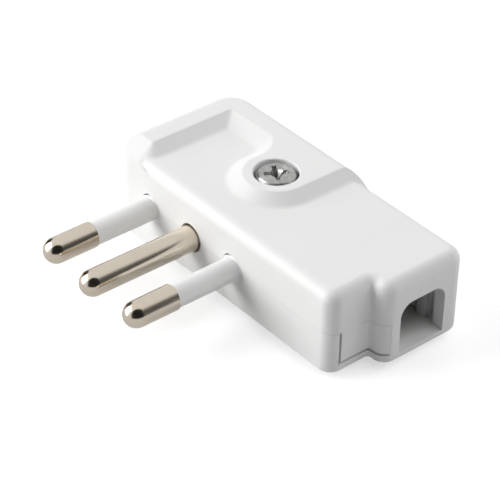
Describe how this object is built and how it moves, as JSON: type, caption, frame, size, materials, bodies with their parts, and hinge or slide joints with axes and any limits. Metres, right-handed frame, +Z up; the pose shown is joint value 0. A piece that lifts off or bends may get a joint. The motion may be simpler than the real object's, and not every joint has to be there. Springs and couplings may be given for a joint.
{
  "type": "angled mains plug",
  "caption": "Rewireable angled mains plug: two-part white housing with a raised grip ridge, round pins in one line, insulating sleeves and a cable entry at right angles to the pins.",
  "frame": {"origin": "on the earth (middle) pin's axis, in the plane of the face that meets the socket", "axes": "the pins point to -Y, +X along the housing to the cable entry, +Z up to the side with the closing screw"},
  "size_m": [0.0512, 0.042, 0.0161],
  "materials": {
    "housing_white": "satin moulded thermoplastic",
    "sleeve_white": "smooth moulded insulation",
    "plated_brass": "nickel plated, polished",
    "plated_steel": "zinc plated",
    "clamp_grey": "plain moulded"
  },
  "bodies": {
    "root": {"cover": "housing_white", "base": "housing_white", "earth_pin": "plated_brass", "grip_side_pin": "plated_brass", "cable_side_pin": "plated_brass", "grip_side_sleeve": "sleeve_white", "cable_side_sleeve": "sleeve_white", "earth_terminal_screw": "plated_steel", "grip_side_terminal_screw": "plated_steel", "cable_side_terminal_screw": "plated_steel", "cover_screw": "plated_steel", "cover_nut": "plated_steel", "cord_clamp": "clamp_grey", "inner_clamp_screw": "plated_steel", "outer_clamp_screw": "plated_steel"}
  },
  "joints": []
}
